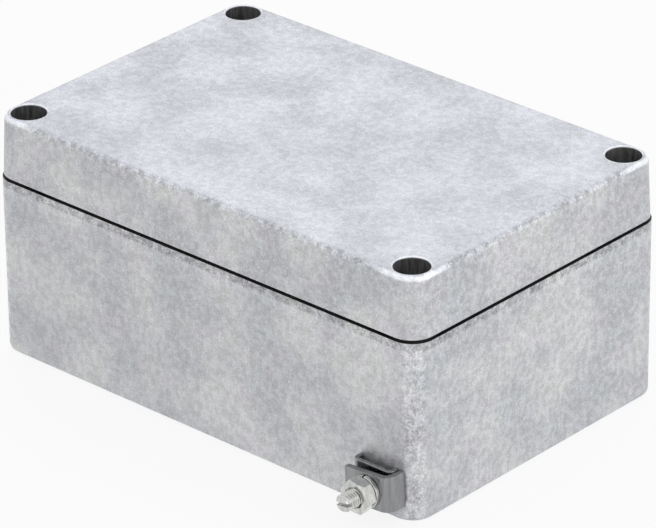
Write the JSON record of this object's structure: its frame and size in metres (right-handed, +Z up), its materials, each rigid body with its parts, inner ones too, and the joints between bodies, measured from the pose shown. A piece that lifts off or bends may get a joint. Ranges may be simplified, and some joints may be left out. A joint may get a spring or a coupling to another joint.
{
  "type": "die cast aluminium box",
  "caption": "Sealed rectangular die cast aluminium box with a screwed lift-off lid, captive lid screws, corner fixing holes and a stud earth terminal on one side.",
  "frame": {"origin": "middle of the underside of the base, between the four fixing holes", "axes": "+X along the length, +Z up through the lid, -Y out of the side that carries the earth terminal"},
  "size_m": [0.122, 0.0929, 0.057],
  "materials": {
    "cast_alloy": "raw casting, mottled and slightly rough",
    "seal_rubber": "matt",
    "stainless": "turned, bright",
    "clamp_steel": "rolled sheet, dull",
    "nylon": "natural nylon"
  },
  "bodies": {
    "base_unit": {"base": "cast_alloy", "earth_stud": "stainless", "earth_pressure_plate": "clamp_steel"},
    "lid_unit": {"lid": "cast_alloy", "lid_gasket": "seal_rubber"},
    "ring_1": {"screw_retainer_1": "nylon"},
    "screw_1": {"lid_screw_1": "stainless"},
    "ring_2": {"screw_retainer_2": "nylon"},
    "screw_2": {"lid_screw_2": "stainless"},
    "ring_3": {"screw_retainer_3": "nylon"},
    "screw_3": {"lid_screw_3": "stainless"},
    "ring_4": {"screw_retainer_4": "nylon"},
    "screw_4": {"lid_screw_4": "stainless"},
    "clamp_outer": {"earth_saddle": "clamp_steel", "earth_spring_washer": "stainless"},
    "nut_outer": {"earth_nut": "stainless"},
    "clamp_inner": {"inner_earth_clamp": "clamp_steel", "inner_earth_spring_washer": "stainless"},
    "screw_inner": {"inner_earth_screw": "stainless"}
  },
  "joints": [
    {"name": "lid_lift", "type": "slide", "parent": "base_unit", "child": "lid_unit", "axis": [0, 0, 1], "range_m": [0, 0.06]},
    {"name": "lid_screw_1_rise", "type": "slide", "parent": "lid_unit", "child": "ring_1", "axis": [0, 0, 1], "range_m": [0, 0.0063]},
    {"name": "lid_screw_1_turn", "type": "hinge", "parent": "ring_1", "child": "screw_1", "pos_m": [0.055, -0.034, 0.05], "axis": [0, 0, 1], "range_deg": [0, 3240]},
    {"name": "lid_screw_2_rise", "type": "slide", "parent": "lid_unit", "child": "ring_2", "axis": [0, 0, 1], "range_m": [0, 0.0063]},
    {"name": "lid_screw_2_turn", "type": "hinge", "parent": "ring_2", "child": "screw_2", "pos_m": [0.055, 0.034, 0.05], "axis": [0, 0, 1], "range_deg": [0, 3240]},
    {"name": "lid_screw_3_rise", "type": "slide", "parent": "lid_unit", "child": "ring_3", "axis": [0, 0, 1], "range_m": [0, 0.0063]},
    {"name": "lid_screw_3_turn", "type": "hinge", "parent": "ring_3", "child": "screw_3", "pos_m": [-0.055, 0.034, 0.05], "axis": [0, 0, 1], "range_deg": [0, 3240]},
    {"name": "lid_screw_4_rise", "type": "slide", "parent": "lid_unit", "child": "ring_4", "axis": [0, 0, 1], "range_m": [0, 0.0063]},
    {"name": "lid_screw_4_turn", "type": "hinge", "parent": "ring_4", "child": "screw_4", "pos_m": [-0.055, -0.034, 0.05], "axis": [0, 0, 1], "range_deg": [0, 3240]},
    {"name": "earth_clamp_open", "type": "slide", "parent": "base_unit", "child": "clamp_outer", "axis": [0, -1, 0], "range_m": [0, 0.0028]},
    {"name": "earth_nut_turn", "type": "hinge", "parent": "clamp_outer", "child": "nut_outer", "pos_m": [0.0522, -0.048, 0.0079], "axis": [0, -1, 0], "range_deg": [0, 1440]},
    {"name": "inner_clamp_open", "type": "slide", "parent": "base_unit", "child": "clamp_inner", "axis": [0, 0, 1], "range_m": [0, 0.0028]},
    {"name": "inner_earth_screw_turn", "type": "hinge", "parent": "clamp_inner", "child": "screw_inner", "pos_m": [0.03, -0.026, 0.013], "axis": [0, 0, 1], "range_deg": [0, 1440]}
  ],
  "couplings": [
    {"joint": "lid_screw_1_turn", "follows": "lid_screw_1_rise", "rad_per_m": 8975.9},
    {"joint": "lid_screw_2_turn", "follows": "lid_screw_2_rise", "rad_per_m": 8975.9},
    {"joint": "lid_screw_3_turn", "follows": "lid_screw_3_rise", "rad_per_m": 8975.9},
    {"joint": "lid_screw_4_turn", "follows": "lid_screw_4_rise", "rad_per_m": 8975.9},
    {"joint": "earth_nut_turn", "follows": "earth_clamp_open", "rad_per_m": 8975.9},
    {"joint": "inner_earth_screw_turn", "follows": "inner_clamp_open", "rad_per_m": 8975.9}
  ]
}
